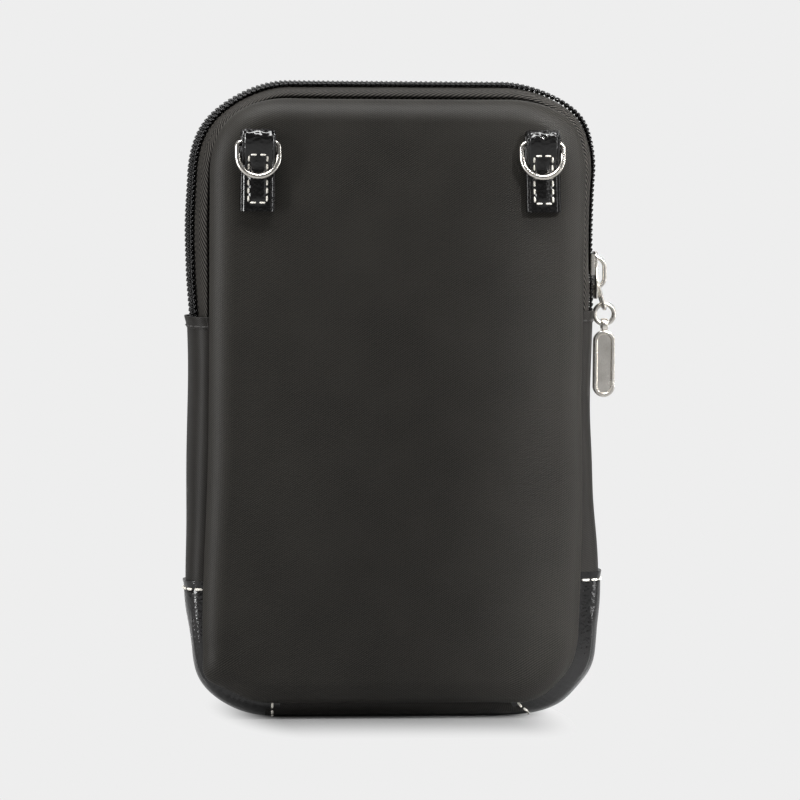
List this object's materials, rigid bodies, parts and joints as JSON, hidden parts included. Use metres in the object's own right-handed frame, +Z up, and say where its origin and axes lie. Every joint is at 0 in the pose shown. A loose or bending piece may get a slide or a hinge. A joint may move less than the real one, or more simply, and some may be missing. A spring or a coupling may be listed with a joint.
{
  "type": "phone pouch",
  "caption": "Upright padded nylon phone pouch with a coil zip round its top, leather corners and rings on its back for a strap.",
  "frame": {"origin": "middle of the flat base, on the surface that the pouch stands on", "axes": "+Z up, -Y out of the back with the strap rings, +X to the right as the back is looked at"},
  "size_m": [0.1265, 0.0361, 0.186],
  "materials": {
    "nylon_twill": "plain black nylon twill over foam, soft sheen",
    "foam": "closed-cell foam sheet",
    "lining_cloth": "smooth woven lining",
    "gusset_nylon": "plain black nylon twill",
    "corner_leather": "glossy black grained leather",
    "strap_leather": "glossy black leather with painted edges",
    "zip_tape_cloth": "black woven zip tape",
    "coil_nylon": "black nylon monofilament coil",
    "polished_nickel": "polished nickel plate"
  },
  "bodies": {
    "pouch": {"back_panel": "nylon_twill", "back_foam": "foam", "back_lining": "lining_cloth", "front_panel_lower": "nylon_twill", "front_foam_lower": "foam", "front_lining_lower": "lining_cloth", "gusset_left": "gusset_nylon", "gusset_right": "gusset_nylon", "gusset_bottom": "gusset_nylon", "gusset_lining": "lining_cloth", "corner_patch_left": "corner_leather", "corner_patch_right": "corner_leather", "zip_tape_back": "zip_tape_cloth", "zip_coil_back": "coil_nylon", "zip_hem_left": "gusset_nylon", "zip_hem_right": "gusset_nylon", "strap_tab_left": "strap_leather", "strap_tab_right": "strap_leather"},
    "mouth_flap": {"front_panel_upper": "nylon_twill", "front_foam_upper": "foam", "front_lining_upper": "lining_cloth", "zip_tape_front": "zip_tape_cloth", "zip_coil_front": "coil_nylon"},
    "slider": {"zip_slider": "polished_nickel", "slider_bail": "polished_nickel"},
    "link": {"pull_link": "polished_nickel"},
    "jump_ring": {"pull_ring": "polished_nickel"},
    "tab": {"pull_tab": "polished_nickel"},
    "left_ring": {"d_ring_left": "polished_nickel"},
    "right_ring": {"d_ring_right": "polished_nickel"}
  },
  "joints": [
    {"name": "mouth_open", "type": "hinge", "parent": "pouch", "child": "mouth_flap", "pos_m": [0, 0.0155, 0.1155], "axis": [-1, 0, 0], "range_deg": [0, 50], "deforming": ["zip_tape_front", "zip_coil_front"]},
    {"name": "slider_travel", "type": "slide", "parent": "pouch", "child": "slider", "axis": [0, 0, 1], "range_m": [0, 0.022], "deforming": ["zip_coil_back"]},
    {"name": "link_swing", "type": "hinge", "parent": "slider", "child": "link", "pos_m": [0.061, 0, 0.12682], "axis": [0, -1, 0], "range_deg": [0, 100]},
    {"name": "pull_ring_swing", "type": "hinge", "parent": "link", "child": "jump_ring", "pos_m": [0.0634, 0, 0.11919], "axis": [0, -1, 0], "range_deg": [0, 40]},
    {"name": "pull_tab_swing", "type": "hinge", "parent": "jump_ring", "child": "tab", "pos_m": [0.0634, 0, 0.11474], "axis": [1, 0, 0], "range_deg": [-60, 60]},
    {"name": "left_ring_swing", "type": "hinge", "parent": "pouch", "child": "left_ring", "pos_m": [-0.0417, -0.01783, 0.168], "axis": [-1, 0, 0], "range_deg": [0, 160]},
    {"name": "right_ring_swing", "type": "hinge", "parent": "pouch", "child": "right_ring", "pos_m": [0.0417, -0.01783, 0.168], "axis": [-1, 0, 0], "range_deg": [0, 160]}
  ]
}
